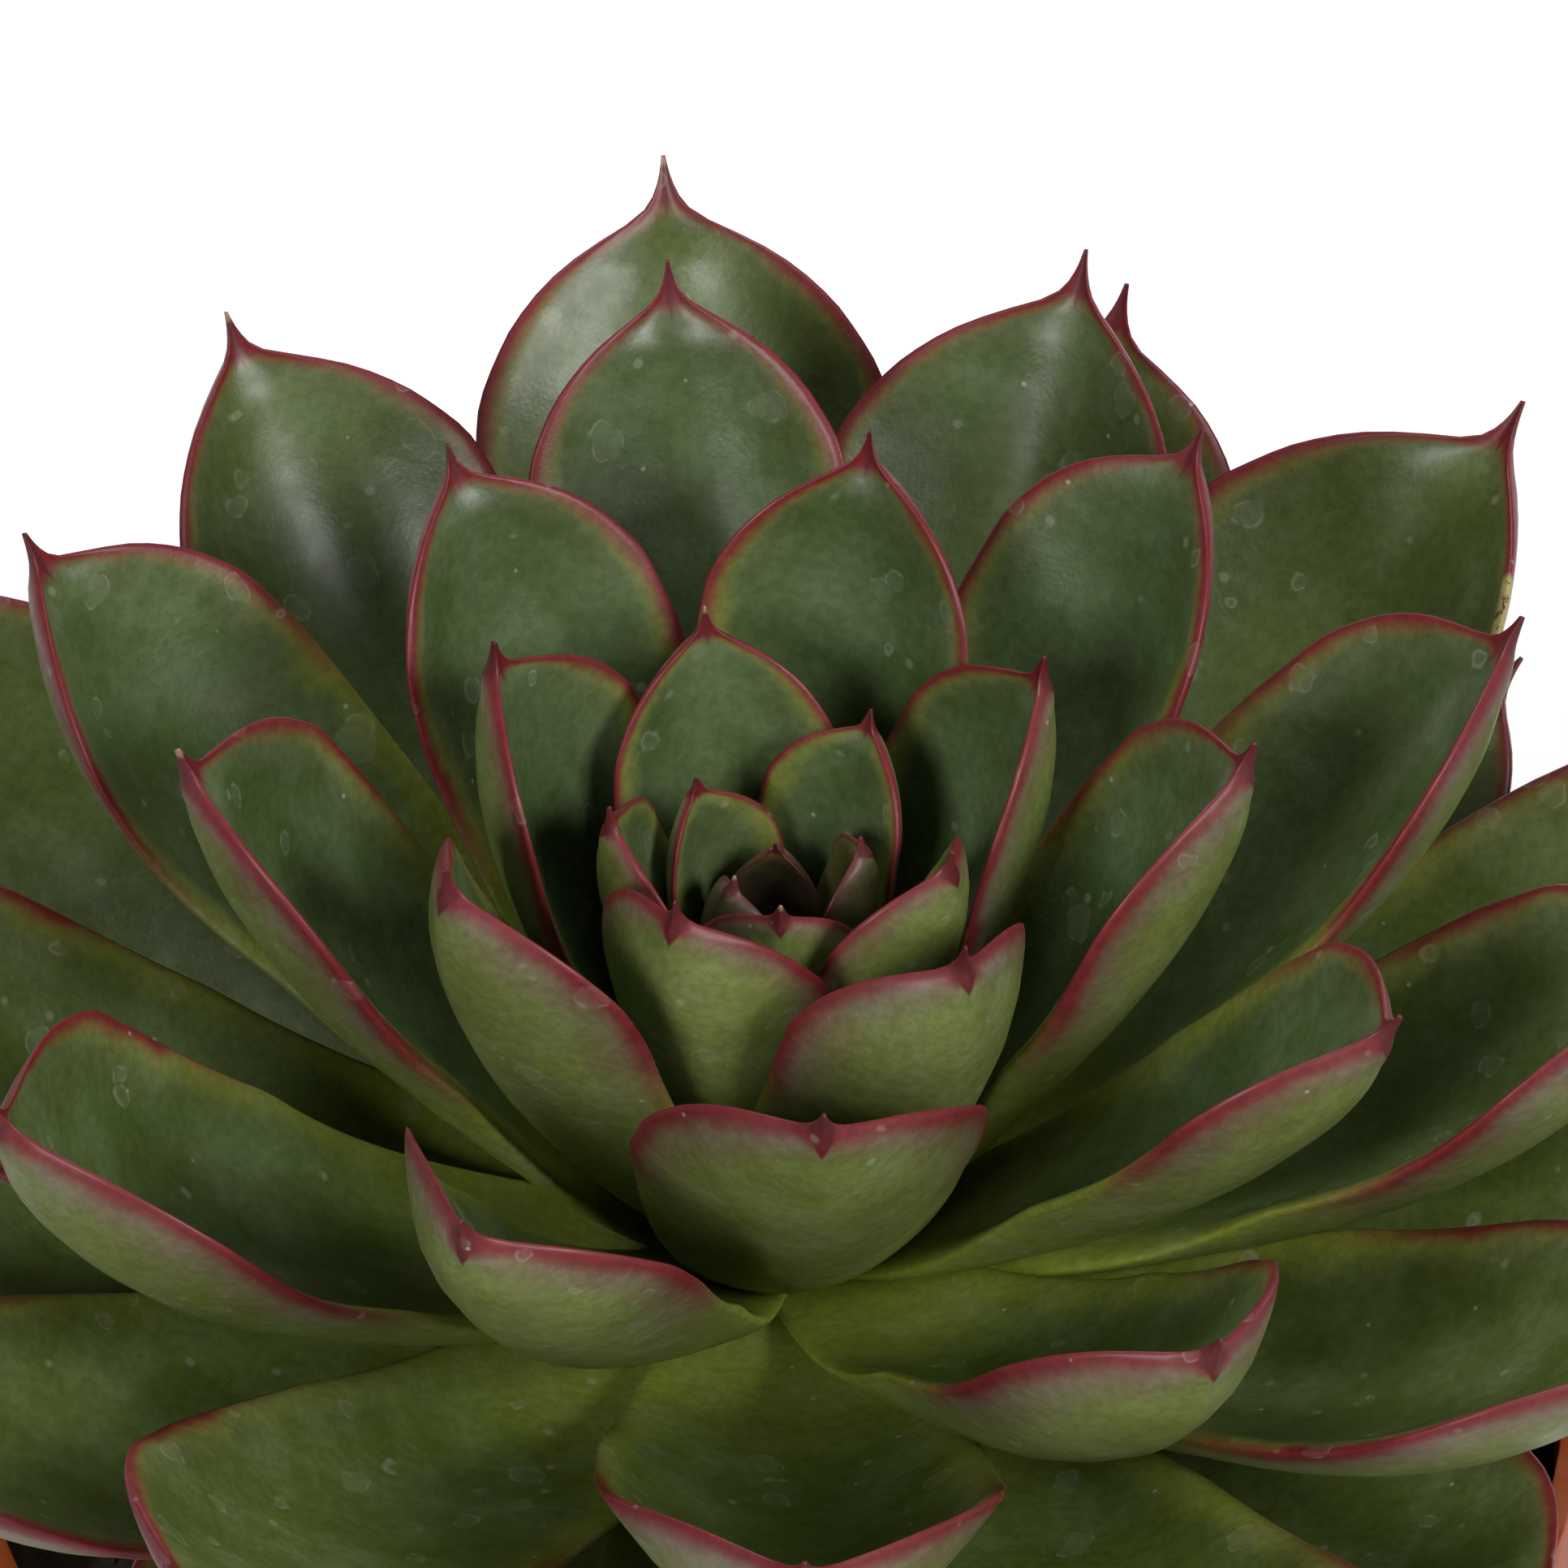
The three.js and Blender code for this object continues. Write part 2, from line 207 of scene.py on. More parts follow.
deselect_all()
bpy.ops.mesh.primitive_cylinder_add(
    vertices=RING_POINTS, radius=1, depth=1, end_fill_type="NGON",
    location=(0, 0.5, 0), rotation=(math.pi / 2, 0, 0))
blank = bpy.context.object
blank.name = "leaf_blank"
bpy.ops.object.transform_apply(location=True, rotation=True, scale=True)
bpy.ops.object.mode_set(mode="EDIT")
bar = bmesh.from_edit_mesh(blank.data)
pick("edges", bar, lambda e: abs(e.verts[0].co.y - e.verts[1].co.y) > 0.5)
bpy.ops.mesh.subdivide(number_cuts=LEAF_RINGS - 1)
bar = bmesh.from_edit_mesh(blank.data)
pick("faces", bar, lambda f: f.calc_center_median().y > 0.999)
bpy.ops.mesh.extrude_region_move(TRANSFORM_OT_translate={"value": (0, 0.5 / LEAF_RINGS, 0)})
bpy.ops.mesh.merge(type="CENTER")
bpy.ops.mesh.select_all(action="SELECT")
bpy.ops.mesh.flip_normals()  # a leaf is set on the plant mirrored, which turns them out again
bpy.ops.object.mode_set(mode="OBJECT")
bpy.ops.object.shade_smooth()
print("blank leaf:", len(blank.data.vertices), "points")

# %% [markdown]
# ## From blank to leaf
# A leaf of this plant is a thick, shallow channel. Its margins are turned up, its face
# rolls softly down to them, its back is rounded with a low keel towards the tip, and its
# shoulders close quickly to a stiff spike. It could be sculpted by hand, but fifty leaves
# that change evenly with age ask for a rule. So each copy of the blank is bent along its
# midrib, widened by the outline and hollowed by the channel. The outline is a curve
# through widths read off the real leaf, in half widths back from the end of the spike.

# %% Sizes and outline of a leaf
LEAF_ROLL = -5
LEAF_THICKNESS = 4.8
FULL_HALF_WIDTH = 13
RISE_POWER = 1.3
MIDRIB_STEPS = 400
BASE_NARROWING, NARROWS_FROM = 0.55, 1.5  # the second in half widths from the spike's end
WAVE_HEIGHT, WAVES = 0.7, 1.4
SPIKE_LENGTH = 3.4
STOUT_END, STOUT_SLOPE, STOUT_REACH = 0.1, 0.42, 1.7  # the blunter spike of a narrow leaf
STOUT_STARTS, STOUT_FULL = 11, 6  # half widths of leaves
CHANNEL_FULL = 1 / 2.2  # the share of the length from which the channel has its full depth
DRAWN_IN = 0.12  # how much narrower a deep channel makes a leaf
ROOT_SINK = 4
LIP = 0.45  # how round the margin is, in mm
ROLL_DROP, ROLL_REACH = 1.0, 3.2  # how far the face rolls down to the margin, and over what
KEEL, KEEL_WIDTH = 0.5, 0.16  # the ridge down the back: mm high, and a share of the half width
EDGE_ROUNDNESS = 10  # the power that keeps the face flat almost up to the margin
PLANT_MIDDLE = np.array([0, 0, 100])
TIP_PULL, PULL_FROM, PULL_FULL = 0.005, 50, 80  # a share, and mm from the plant's middle
OUTLINE = [(0, 0.01), (0.08, 0.024), (0.2, 0.07), (0.27, 0.135), (0.36, 0.3), (0.49, 0.51),
           (0.65, 0.68), (0.83, 0.81), (1.2, 0.96), (1.65, 1)]


def outline_at(from_end, full):
    """Share of the full width at a distance from the spike's end, in half widths."""
    ends, widths = zip(*OUTLINE)
    near = through(ends, widths, np.clip(from_end, 0, ends[-1]))
    outline = np.where(from_end < ends[-1], near, 1)
    return outline * (1 - BASE_NARROWING * ramp(from_end, NARROWS_FROM, full) ** 2)


print("share of the width at one half width from the end:", round(float(outline_at(1, 5)), 2))

# %% Bend the midrib
def midrib(rule, share):
    """A curve that climbs more steeply towards the tip: how far out, how high, and its rise."""
    length = rule["length"]
    steps = np.linspace(0, 1, MIDRIB_STEPS + 1)
    climb = rule["tip_rise"] - rule["base_rise"]
    rises = (rule["base_rise"] + climb * steps**RISE_POWER) * DEGREE
    middle = (rises[1:] + rises[:-1]) / 2
    outs = np.r_[0, np.cumsum(np.cos(middle))] * length / MIDRIB_STEPS
    ups = np.r_[0, np.cumsum(np.sin(middle))] * length / MIDRIB_STEPS
    inside = np.clip(share, 0, 1)
    rise = np.interp(inside, steps, rises)
    beyond = (share - inside) * length
    radius = rule["radius"] + np.interp(inside, steps, outs) + beyond * np.cos(rise)
    height = rule["height"] + np.interp(inside, steps, ups) + beyond * np.sin(rise)
    return radius, height, rise


tip_out, tip_height, _ = midrib(leaf_rule(LEAF_COUNT - 1), 1.0)
print("oldest leaf's tip in mm: out", round(tip_out), "and up", round(tip_height))

# %% Hollow the face and round the back
blank_places = np.array([v.co for v in blank.data.vertices])
IS_POLE = blank_places[:, 1] > 1.0001
ACROSS = np.where(IS_POLE, 0, np.clip(blank_places[:, 0], -1, 1))
UPPER = blank_places[:, 2]
ALONG = 1 - (1 - np.clip(blank_places[:, 1], 0, 1)) ** 1.5  # rings crowd towards the tip


def leaf_width(widest, from_end, outline):
    """Half width in mm: the outline, with a stouter spike on narrow leaves."""
    from_end_mm = from_end * widest
    stout = (STOUT_END + STOUT_SLOPE * from_end_mm) * ramp(widest, STOUT_STARTS, STOUT_FULL)
    return np.maximum(widest * outline, np.where(from_end_mm < STOUT_REACH, stout, 0))


def leaf_face(rule, size, share, outline, slant, width, channel):
    """Height of the face over the midrib: a channel with wavy, upturned margins."""
    inwards = (1 - np.abs(ACROSS)) * width / np.sqrt(1 + slant**2)
    rolled = ramp(inwards, ROLL_REACH * size, 0)
    swell = ROLL_DROP * size * (1 - rolled**2) * ramp(share, 0, 1 / 3) * ramp(outline, 0, 0.5)
    wave = WAVE_HEIGHT * size * ramp(share, 0.2, 0.7) * outline * np.sin(
        2 * math.pi * (WAVES * share + 0.37 * rule["age"]))
    shoulder = ramp(share, 0.45, 0.8) ** 2 * outline
    on_curled_side = np.clip(-np.sign(rule["curl"]) * ACROSS, 0, 1)
    curled = abs(rule["curl"]) * shoulder * on_curled_side**3
    return channel * width * ACROSS**2 + wave * ACROSS**3 + curled + swell


def round_leaf(trough, size, share, outline):
    """Gives the face its thickness: a round margin, a rounded back and its keel."""
    belly = 0.75 + 0.25 * np.sin(math.pi * np.clip(share, 0, 1) ** 0.8)
    thickness = LEAF_THICKNESS * size**0.6 * belly * np.sqrt(outline)
    ridge = np.exp(-((ACROSS / KEEL_WIDTH) ** 2))
    keel = KEEL * size * ridge * ramp(share, 0.45, 0.95) * np.sqrt(outline)
    lip = np.minimum(LIP * size, 0.3 * thickness)
    top = trough - lip * (1 - np.sqrt(np.clip(1 - ACROSS**EDGE_ROUNDNESS, 0, 1)))
    back = trough - lip - (thickness - lip) * np.clip(1 - ACROSS**2, 0, 1) ** 0.6 - keel
    rounded = np.where(UPPER > 1e-4, top, np.where(UPPER < -1e-4, back, trough - lip))
    return np.where(IS_POLE, -0.3 * lip, rounded)


print("points on the upper face:", int((UPPER > 1e-4).sum()))


# %% Set a leaf on the plant
def shape_leaf(rule):
    """Where each point of the blank goes, in mm, and what its material needs to know."""
    length, widest = rule["length"], rule["half_width"]
    size = min(1, widest / FULL_HALF_WIDTH)
    spike = SPIKE_LENGTH * size
    arc = -ROOT_SINK + ALONG * (length + spike + ROOT_SINK)
    share = arc / length
    from_end = np.clip((length + spike - arc) / widest, 0, None)
    full = (length + spike) / widest
    outline = outline_at(from_end, full)
    slant = (outline_at(from_end + 0.02, full) - outline) / 0.02
    width = leaf_width(widest, from_end, outline)
    channel = rule["channel"] * ramp(share, 0, CHANNEL_FULL)
    spread = width * ACROSS * (1 - DRAWN_IN * channel**2 * ACROSS**2)
    trough = leaf_face(rule, size, share, outline, slant, width, channel)
    rounded = round_leaf(trough, size, share, outline)

    # Out, across and up from the leaf's own place on the stem.
    radius, height, rise = midrib(rule, share)
    turn = rule["azimuth"]
    out = np.array([math.cos(turn), math.sin(turn), 0])
    plain_side = np.array([-math.sin(turn), math.cos(turn), 0])
    up = np.array([0, 0, 1])
    roll = (LEAF_ROLL * DEGREE * np.clip(share, 0, None))[:, None]
    plain_face = -np.sin(rise)[:, None] * out + np.cos(rise)[:, None] * up
    side = np.cos(roll) * plain_side + np.sin(roll) * plain_face
    face = np.cos(roll) * plain_face - np.sin(roll) * plain_side
    places = radius[:, None] * out + height[:, None] * up
    places = places + spread[:, None] * side + rounded[:, None] * face

    # The flat faces of the solids cut each bend short, so their tips reach a hair less.
    from_middle = places - PLANT_MIDDLE
    pull = TIP_PULL * ramp(np.linalg.norm(from_middle, axis=1), PULL_FROM, PULL_FULL)
    places = places - from_middle * pull[:, None]
    return places, share, (length + spike - arc) / spike, spread


def leaf_grid():
    """Point numbers of the blank as rings by points, each ring starting at one margin."""
    angle = np.round(np.arctan2(blank_places[:, 2], blank_places[:, 0]) % (2 * math.pi), 4)
    rows = [i for i in range(len(blank_places)) if not IS_POLE[i]]
    rows.sort(key=lambda i: (round(float(blank_places[i, 1]), 5), angle[i]))
    return np.array(rows).reshape(-1, RING_POINTS)


GRID = leaf_grid()
print("rings:", GRID.shape[0], "points a ring:", GRID.shape[1])

# %% [markdown]
# ## Grow all the leaves
# Each leaf is a copy of the blank with its own mesh. The colours of the real leaf follow
# its form: the red keeps to the margin and the tip, the yellow to the base and the rim.
# They could be painted on an unwrapped skin, but then every leaf needs its own painting.
# Here each point keeps how far it is from the margin over the skin, from the midrib and
# from the tip in spike lengths, and how far along the leaf, for one material to read.
# Distances from the margin count up over the upper face, and down over the back.


# %% Copy, shape and place each leaf
def edge_distance(places):
    """Distance in mm from each point to the nearest margin over the skin: back negative."""
    half = RING_POINTS // 2
    ring = places[GRID]
    steps = np.linalg.norm(np.roll(ring, -1, axis=1) - ring, axis=2)
    walked = np.concatenate([np.zeros((len(ring), 1)), np.cumsum(steps, axis=1)], axis=1)
    total, middle = walked[:, -1:], walked[:, half:half + 1]
    near = walked[:, :-1]
    over_top = np.minimum(near, middle - near)
    over_back = np.minimum(near - middle, total - near)
    over = np.where(np.arange(RING_POINTS) <= half, over_top, -over_back)
    distance = np.zeros(len(places))
    distance[GRID] = over
    return distance


def grow_leaf(age, chance):
    rule = leaf_rule(age)
    places, share, from_tip, aside = shape_leaf(rule)
    mesh = blank.data.copy()
    mesh.name = f"leaf_{age:02d}"
    mesh.vertices.foreach_set("co", (places * MM).ravel())
    place = mesh.attributes.new("leaf_place", "FLOAT_VECTOR", "POINT")
    columns = [edge_distance(places), from_tip, share]
    place.data.foreach_set("vector", np.column_stack(columns).ravel())
    kind = mesh.attributes.new("leaf_kind", "FLOAT_VECTOR", "POINT")
    same = [age / (LEAF_COUNT - 1), *chance.random(2)]
    kind.data.foreach_set("vector", np.tile(same, (len(places), 1)).ravel())
    mesh.attributes.new("leaf_aside", "FLOAT", "POINT").data.foreach_set("value", np.abs(aside))
    mesh.update()
    leaf = bpy.data.objects.new(mesh.name, mesh)
    bpy.context.scene.collection.objects.link(leaf)
    return leaf


luck = np.random.default_rng(7)
leaves = [grow_leaf(age, luck) for age in range(LEAF_COUNT)]
bpy.data.objects.remove(blank)
for leaf in leaves:
    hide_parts("rosette")
    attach(leaf, "root")
print("leaves:", len(leaves), "faces:", sum(len(leaf.data.polygons) for leaf in leaves))

# %% [markdown]
# ## Node helpers
# A material is a small graph of nodes. A few short helpers keep its cells readable: they
# add a node and set or join its inputs, do a sum, fade from one value to another, mix two
# colours, or put a shared group to use.


# %% Helpers for materials
def set_inputs(tree, node, inputs):
    """Joins each input to a socket, or gives it a plain value."""
    for key, value in inputs.items():
        if isinstance(value, bpy.types.NodeSocket):
            tree.links.new(value, node.inputs[key])
        else:
            node.inputs[key].default_value = value


class Graph:
    """A node tree with short ways to add and join nodes."""

    def __init__(self, tree):
        self.tree = tree
        self.count = 0

    def add_node(self, kind, inputs=(), **settings):
        node = self.tree.nodes.new("ShaderNode" + kind)
        node.location = (220 * (self.count % 12), -260 * (self.count // 12))
        self.count += 1
        for name, value in settings.items():
            setattr(node, name, value)
        set_inputs(self.tree, node, dict(inputs))
        return node

    def add(self, kind, inputs=(), output=0, **settings):
        return self.add_node(kind, inputs, **settings).outputs[output]

    def sum(self, operation, a, b=0.0, c=0.0):
        return self.add("Math", {0: a, 1: b, 2: c}, operation=operation)

    def fade(self, value, start, end, low=0.0, high=1.0):
        span = {"Value": value, "From Min": start, "From Max": end, "To Min": low, "To Max": high}
        return self.add("MapRange", span, interpolation_type="SMOOTHSTEP")

    def mix(self, share, a, b):
        colours = {0: share, 6: a, 7: b}
        return self.add("Mix", colours, output=2, data_type="RGBA", clamp_factor=True)

    def scaled(self, vector, scale):
        return self.add("VectorMath", {0: vector, 3: scale}, operation="SCALE")

    def use(self, group, inputs):
        return self.add_node("Group", inputs, node_tree=group).outputs


def new_material(name):
    material = bpy.data.materials.new(name)
    material.use_nodes = True
    graph = Graph(material.node_tree)
    return material, graph, material.node_tree.nodes["Principled BSDF"]


def feed(graph, shader, **sources):
    inputs = {name.replace("_", " "): value for name, value in sources.items()}
    set_inputs(graph.tree, shader, inputs)


def new_group(name, inputs, outputs):
    """A node group of masks: its inputs, then its outputs, as (label, kind) pairs."""
    group = bpy.data.node_groups.new(name, "ShaderNodeTree")
    for way, sockets in (("INPUT", inputs), ("OUTPUT", outputs)):
        for label, kind in sockets:
            group.interface.new_socket(label, in_out=way, socket_type="NodeSocket" + kind)
    start = group.nodes.new("NodeGroupInput")
    end = group.nodes.new("NodeGroupOutput")
    return group, Graph(group), start.outputs, end


def dress(piece, material):
    piece.data.materials.clear()
    piece.data.materials.append(material)


print("helpers:", [h.__name__ for h in (set_inputs, Graph, new_material, feed, new_group, dress)])

# %% [markdown]
# ## Dust, water marks and blotches
# Everything that stands outdoors or is watered from above carries the same three traces:
# specks of dust, pale rings where a drop has dried, and cloudy blotches. Leaves, pot and
# soil share them, so each is a node group with its own inputs.

# %% Specks of dust
PLACE_AND_SPACING = [("Vector", "Vector"), ("Spacing", "Float"), ("Share", "Float")]

specks, g, given, end = new_group("dust_specks", PLACE_AND_SPACING, [("Mask", "Float")])
cells = g.scaled(given["Vector"], g.sum("DIVIDE", 1, given["Spacing"]))
grain = g.add_node("TexVoronoi", {"Vector": cells, "Scale": 1}).outputs
there = g.sum("LESS_THAN", g.add("SeparateColor", {0: grain["Color"]}), given["Share"])
dot = g.fade(grain["Distance"], 0.16, 0.07)
set_inputs(g.tree, end, {"Mask": g.sum("MULTIPLY", there, dot)})
print("dust specks:", g.count, "nodes")

# %% Rings of dried drops
rings, g, given, end = new_group(
    "water_rings", PLACE_AND_SPACING, [("Mask", "Float"), ("Inside", "Float")])
cells = g.scaled(given["Vector"], g.sum("DIVIDE", 1, given["Spacing"]))
warp = g.add("TexNoise", {"Vector": cells, "Scale": 2.0, "Detail": 1.0}, output=1)
bent = g.add("VectorMath", {0: warp, 1: (0.4, 0.4, 0.4), 2: cells}, operation="MULTIPLY_ADD")
drop = g.add_node("TexVoronoi", {"Vector": bent, "Scale": 1}).outputs
chances = g.add_node("SeparateColor", {0: drop["Color"]}).outputs
radius = g.sum("MULTIPLY_ADD", chances[1], 0.22, 0.12)
there = g.sum("LESS_THAN", chances[0], given["Share"])
line = g.fade(g.sum("ABSOLUTE", g.sum("SUBTRACT", drop["Distance"], radius)), 0.04, 0.0)
broken = g.fade(g.add("TexNoise", {"Vector": cells, "Scale": 4.0, "Detail": 0.0}), 0.4, 0.6)
inside = g.sum("LESS_THAN", drop["Distance"], radius)
set_inputs(g.tree, end, {
    "Mask": g.sum("MULTIPLY", g.sum("MULTIPLY", there, line), broken),
    "Inside": g.sum("MULTIPLY", inside, there)})
print("dried drops:", g.count, "nodes")

# %% Cloudy blotches
SIZE_AND_RANGE = [("Vector", "Vector"), ("Size", "Float"), ("Low", "Float"), ("High", "Float")]
blotches, g, given, end = new_group("cloudy_blotches", SIZE_AND_RANGE, [("Mask", "Float")])
cells = g.scaled(given["Vector"], g.sum("DIVIDE", 1, given["Size"]))
cloud = g.add("TexNoise", {"Vector": cells, "Scale": 1.0, "Detail": 4.0, "Roughness": 0.55})
set_inputs(g.tree, end, {"Mask": g.fade(cloud, given["Low"], given["High"])})


def clouds(size, low, high):
    """Cloudy patches of a size in mm, in the graph g and at the place spot."""
    return g.use(blotches, {"Vector": spot, "Size": size * MM, "Low": low, "High": high})[0]


def marks(group, spacing, share):
    """Specks or rings at a spacing in mm, in a share of the places."""
    return g.use(group, {"Vector": spot, "Spacing": spacing * MM, "Share": share})


print("shared effects:", [group.name for group in (specks, rings, blotches)])

# %% [markdown]
# ## Leaf skin
# The upper face is deep green and the back is paler and greyer. Both run to yellow-green
# at the base and along the rim. The margin is crimson from about the middle of the leaf
# to the tip, narrow on the upper face and fading softly down the back, and the spike and
# the end of the keel are darkest. A thin bloom of wax greys the whole, with dried drops
# and dust on it, and one margin has a tan, healed graze. The distances kept on the leaf
# drive all of these.

# %% Leaf colours
YOUNG_FACE = (0.048, 0.08, 0.02, 1), (0.074, 0.112, 0.035, 1)  # dark and light patches
OLD_FACE = (0.062, 0.088, 0.014, 1), (0.09, 0.124, 0.025, 1)
BACK = (0.138, 0.17, 0.033, 1), (0.174, 0.208, 0.052, 1)
RIM_YELLOW, FOOT_YELLOW = (0.175, 0.2, 0.022, 1), (0.25, 0.3, 0.032, 1)
MAUVE, CRIMSON, KEEL_RED = (0.15, 0.085, 0.06, 1), (0.15, 0.008, 0.013, 1), (0.07, 0.004, 0.007, 1)
# the first colour here is painted shade for the leaves deep in the heart, not their own colour; the
# second is a dry tip
HEART_SHADE, DRY_TIP = (0.028, 0.018, 0.008, 1), (0.45, 0.3, 0.22, 1)
WAX, DRIED_DROP, GRAZE_TAN = (0.42, 0.5, 0.42, 1), (0.57, 0.6, 0.5, 1), (0.4, 0.36, 0.14, 1)
GRAZE_PLACE = (0.0555, 0.0368, 0.1456)  # a healed graze on one margin

# %% Read what the leaf keeps
leaf_skin, g, shader = new_material("leaf_skin")
spot = g.add("TexCoord", output=3)
place = g.add("Attribute", output=1, attribute_name="leaf_place")
kind = g.add("Attribute", output=1, attribute_name="leaf_kind")
edge, from_tip, share = g.add_node("SeparateXYZ", {0: place}).outputs
age, chance_a, chance_b = g.add_node("SeparateXYZ", {0: kind}).outputs
aside = g.add("Attribute", output=2, attribute_name="leaf_aside")
is_top = g.fade(edge, -0.15, 0.15)
off_edge = g.sum("ABSOLUTE", edge)
ragged = g.sum("MULTIPLY_ADD", clouds(5, 0.3, 0.7), 0.4, 0.8)
print("leaf masks:", g.count, "nodes")

# %% Greens and yellows
young_top = g.mix(clouds(14, 0.35, 0.7), *YOUNG_FACE)
old_top = g.mix(clouds(14, 0.35, 0.7), *OLD_FACE)
green_top = g.mix(g.fade(age, 0.35, 0.75), young_top, old_top)
green_back = g.mix(clouds(9, 0.35, 0.7), *BACK)
green = g.mix(is_top, green_back, green_top)

rim_reach = g.sum("MULTIPLY", ragged, g.fade(share, 0.3, 0.9, 5.5, 2.8))
rim = g.sum("MULTIPLY", g.fade(off_edge, rim_reach, 0.4), g.fade(is_top, 0, 1, 0.45, 0.85))
green = g.mix(rim, green, RIM_YELLOW)
foot_reach = g.fade(is_top, 0, 1, 0.6, 0.42)
foot = g.sum("MULTIPLY", g.fade(share, foot_reach, 0.05), g.fade(age, 0.3, 0.7, 0.85, 0.6))
green = g.mix(foot, green, FOOT_YELLOW)
print("with greens:", g.count, "nodes")

# %% Reds
grown_up = g.fade(age, 0.04, 0.3)
sunburn = g.sum("MULTIPLY_ADD", chance_b, 0.22, -0.1)
red_starts, red_full = g.fade(grown_up, 0, 1, 0.35, 0.45), g.fade(grown_up, 0, 1, 0.6, 0.72)
red_along = g.fade(g.sum("SUBTRACT", share, sunburn), red_starts, red_full)
small = g.fade(age, 0, 0.35, 0.3, 1.0)
near_tip = g.fade(from_tip, 5, 1.2)
reach_top = g.sum("MULTIPLY_ADD", near_tip, 0.8, 2.0)
reach_back = g.sum("MULTIPLY_ADD", near_tip, 0.5, 2.7)
reach = g.add("Mix", {0: is_top, 2: reach_back, 3: reach_top}, data_type="FLOAT")
reach = g.sum("MULTIPLY", g.sum("MULTIPLY", ragged, reach), small)
red_line = g.fade(off_edge, reach, g.sum("MULTIPLY", reach, 0.15))

keel_width = g.sum("MULTIPLY", g.fade(from_tip, 1.75, 0.8), g.fade(is_top, 1, 0, 0.5, 1.2))
keel = g.fade(g.sum("SUBTRACT", aside, keel_width), 0.0, -0.4)
red = g.sum("MAXIMUM", g.sum("MULTIPLY", red_line, red_along), keel)
red = g.sum("MAXIMUM", red, g.fade(from_tip, 1.4, 1.0))
mauve = g.fade(off_edge, g.sum("MULTIPLY", reach, 2.7), g.sum("MULTIPLY", reach, 0.4))
mauve = g.sum("MULTIPLY", g.sum("MULTIPLY", mauve, red_along), g.fade(is_top, 0, 1, 0.85, 0.15))
heart = g.fade(age, 0.07, 0.01)
red = g.sum("MAXIMUM", red, g.sum("MULTIPLY", heart, g.fade(is_top, 0, 1, 0.5, 0.3)))
colour = g.mix(red, g.mix(mauve, green, MAUVE), CRIMSON)
colour = g.mix(g.sum("MULTIPLY", keel, 0.6), colour, KEEL_RED)
# painted shade: the youngest leaves, deep in the packed heart, are darkened towards brown, less so
# at their spikes
heart_shade = g.sum("MULTIPLY", heart, g.fade(from_tip, 0.7, 1.8, 0.2, 0.8))
colour = g.mix(heart_shade, colour, HEART_SHADE)
dry = g.sum("MULTIPLY", g.fade(from_tip, 0.3, 0.1), g.sum("GREATER_THAN", chance_a, 0.75))
colour = g.mix(g.sum("MULTIPLY", dry, 0.6), colour, DRY_TIP)
print("with reds:", g.count, "nodes")

# %% Wax, dried drops, dust and the graze
not_red = g.sum("MULTIPLY_ADD", red, -0.85, 1.0)
wax = g.sum("MULTIPLY", clouds(7, 0.35, 0.75), g.fade(is_top, 0, 1, 0.1, 0.06))
colour = g.mix(g.sum("MULTIPLY", wax, not_red), colour, WAX)
colour = g.scaled(colour, g.fade(clouds(0.8, 0.3, 0.7), 0, 1, 0.9, 1.12))
dried = marks(rings, 4.5, 0.4)
drops = marks(specks, 3.4, 0.22)[0]
dust = marks(specks, 1.6, 0.03)[0]
pale = g.sum("MULTIPLY_ADD", dried["Inside"], 0.045, g.sum("MULTIPLY", dried["Mask"], 0.13))
pale = g.sum("MULTIPLY_ADD", dust, 0.35, g.sum("MULTIPLY_ADD", drops, 0.15, pale))
colour = g.mix(pale, colour, DRIED_DROP)
from_graze = g.add("VectorMath", {0: spot, 1: GRAZE_PLACE}, output=1, operation="DISTANCE")
graze = g.sum("MULTIPLY", g.fade(from_graze, 3.4 * MM, 2.4 * MM), g.fade(off_edge, 1.7, 1.0))
graze = g.sum("MULTIPLY", graze, clouds(1.1, 0.36, 0.46))
colour = g.mix(graze, colour, GRAZE_TAN)
print("with marks:", g.count, "nodes")

# %% Gloss and relief
rough = g.sum("ADD", g.fade(clouds(4, 0.3, 0.7), 0, 1, 0.0, 0.12), g.fade(is_top, 0, 1, 0.45, 0.36))
rough = g.sum("MULTIPLY_ADD", red, 0.12, rough)
swell = g.add("TexNoise", {"Vector": spot, "Scale": 130.0, "Detail": 2.0})
pores = g.add("TexNoise", {"Vector": spot, "Scale": 2600.0, "Detail": 2.0})
relief = g.sum("MULTIPLY_ADD", pores, 0.08, swell)
bump = g.add("Bump", {"Strength": 1.0, "Distance": 0.35 * MM, "Height": relief})
# painted shade on the sheen: coat and specular are turned down at the crowded foot, where the
# leaves shade each other
foot_shaded_gloss = g.fade(share, 0.2, 0.6, 0.3, 1.0)  # the crowded foot is duller
feed(g, shader, Base_Color=colour, Roughness=rough, Normal=bump, IOR=1.45, Coat_Roughness=0.27,
     Coat_Weight=g.sum("MULTIPLY", foot_shaded_gloss, 0.22), Specular_IOR_Level=g.sum("MULTIPLY", foot_shaded_gloss, 0.5))
for leaf in leaves:
    dress(leaf, leaf_skin)
print("leaf skin:", g.count, "nodes")

# %% [markdown]
# ## The pot
# A plastic nursery pot is a thin tapered wall with a wider band round the mouth, so that
# pots stack. It could be spun from a drawn outline. Here a filled circle is drawn up ring
# by ring instead, which is quicker by hand: up the outside, over the lip, and down the
# inside to the floor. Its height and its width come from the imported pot, and the other
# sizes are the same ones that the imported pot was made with.

